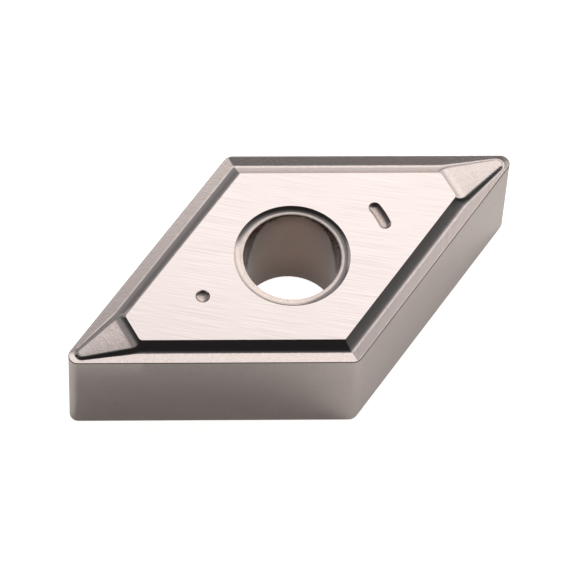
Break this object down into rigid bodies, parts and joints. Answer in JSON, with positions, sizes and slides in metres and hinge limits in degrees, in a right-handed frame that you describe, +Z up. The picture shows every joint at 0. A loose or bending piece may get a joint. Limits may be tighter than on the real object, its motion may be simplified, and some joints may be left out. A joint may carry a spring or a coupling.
{
  "type": "carbide insert",
  "caption": "Rhombic double-sided cutting insert with sharp acute corners, a chip groove along the edges, raised seating pads and a central clamping bore.",
  "frame": {"origin": "middle of the lower seating pad's plane, on the axis of the clamping bore", "axes": "+Z up through the bore, +X along one pair of cutting edges, +Y from the edge that the picture shows in front to the far one"},
  "size_m": [0.0236, 0.0126, 0.0066],
  "materials": {
    "carbide_insert": "thin warm grey coating on sintered tungsten carbide, seating pads ground bright"
  },
  "bodies": {
    "root": {"carbide_insert": "carbide_insert"}
  },
  "joints": []
}
